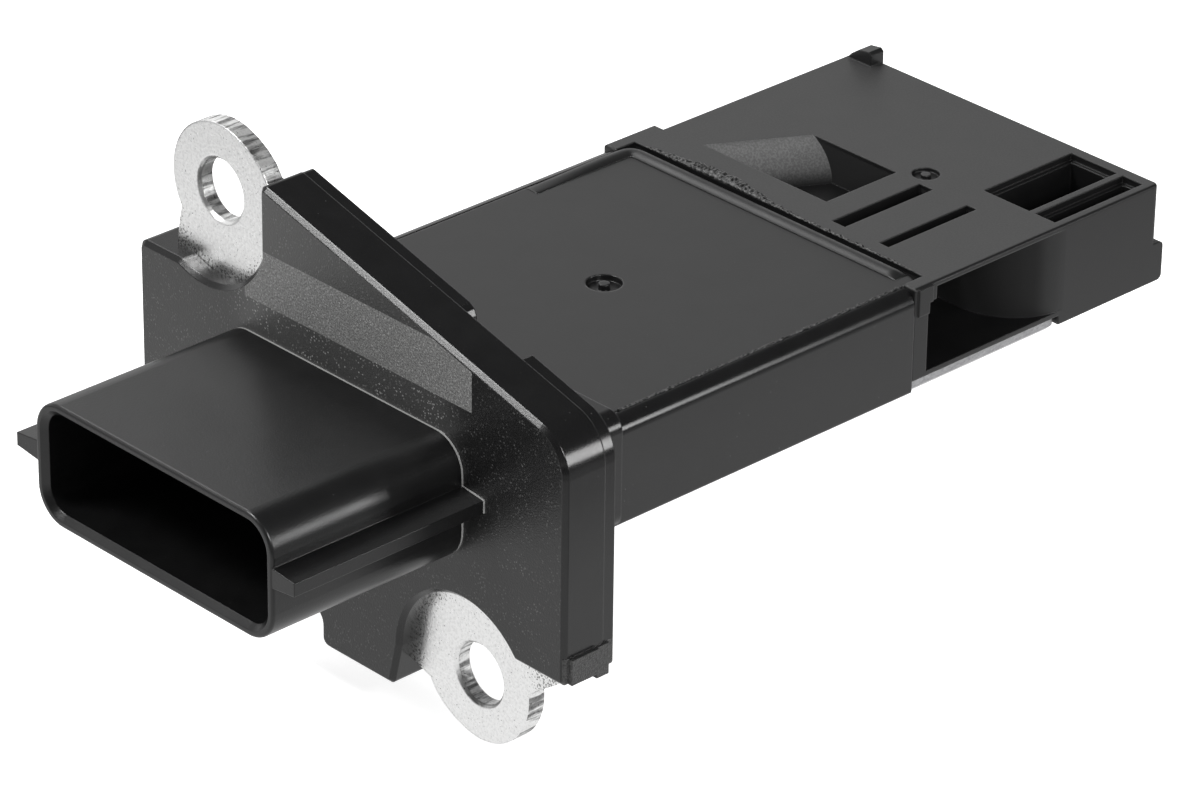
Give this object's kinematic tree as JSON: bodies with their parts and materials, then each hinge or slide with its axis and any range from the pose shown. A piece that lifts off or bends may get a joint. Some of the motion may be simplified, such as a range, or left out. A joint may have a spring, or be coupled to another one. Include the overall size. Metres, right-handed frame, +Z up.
{
  "type": "mass airflow sensor",
  "caption": "Plug-in mass airflow sensor: flange with metal ears, rectangular connector shroud and a flat probe with air passages at its tip.",
  "frame": {"origin": "midway between the two ear holes, in the plane of the ears' back faces", "axes": "+Y from the connector to the probe's tip, +Z up, +X towards the wide air inlet"},
  "size_m": [0.0465, 0.0877, 0.0392],
  "materials": {
    "housing": "satin glass-filled moulding",
    "circuit_cover": "satin",
    "bypass_duct": "matte",
    "base_plate": "mill finish, bright cut edge",
    "ear_upper": "tin plated sheet, fine mottle",
    "ear_lower": "tin plated sheet, fine mottle",
    "seal_ring": "matte",
    "terminals": "tin plated",
    "cover_adhesive": "satin silicone",
    "plate_adhesive": "satin silicone",
    "board_adhesive": "satin",
    "circuit_board": "fired ceramic",
    "control_chip": "matte",
    "supply_chip": "matte",
    "capacitors": "satin ceramic",
    "resistors": "satin",
    "bond_ribbons": "bright",
    "chip_carrier": "satin",
    "sensing_chip": "polished silicon",
    "thermistor": "gloss resin",
    "thermistor_leads": "tin plated"
  },
  "bodies": {
    "root": {"housing": "housing", "circuit_cover": "circuit_cover", "bypass_duct": "bypass_duct", "base_plate": "base_plate", "ear_upper": "ear_upper", "ear_lower": "ear_lower", "seal_ring": "seal_ring", "terminals": "terminals", "cover_adhesive": "cover_adhesive", "plate_adhesive": "plate_adhesive", "board_adhesive": "board_adhesive", "circuit_board": "circuit_board", "control_chip": "control_chip", "supply_chip": "supply_chip", "capacitors": "capacitors", "resistors": "resistors", "bond_ribbons": "bond_ribbons", "chip_carrier": "chip_carrier", "sensing_chip": "sensing_chip", "thermistor": "thermistor", "thermistor_leads": "thermistor_leads"}
  },
  "joints": []
}
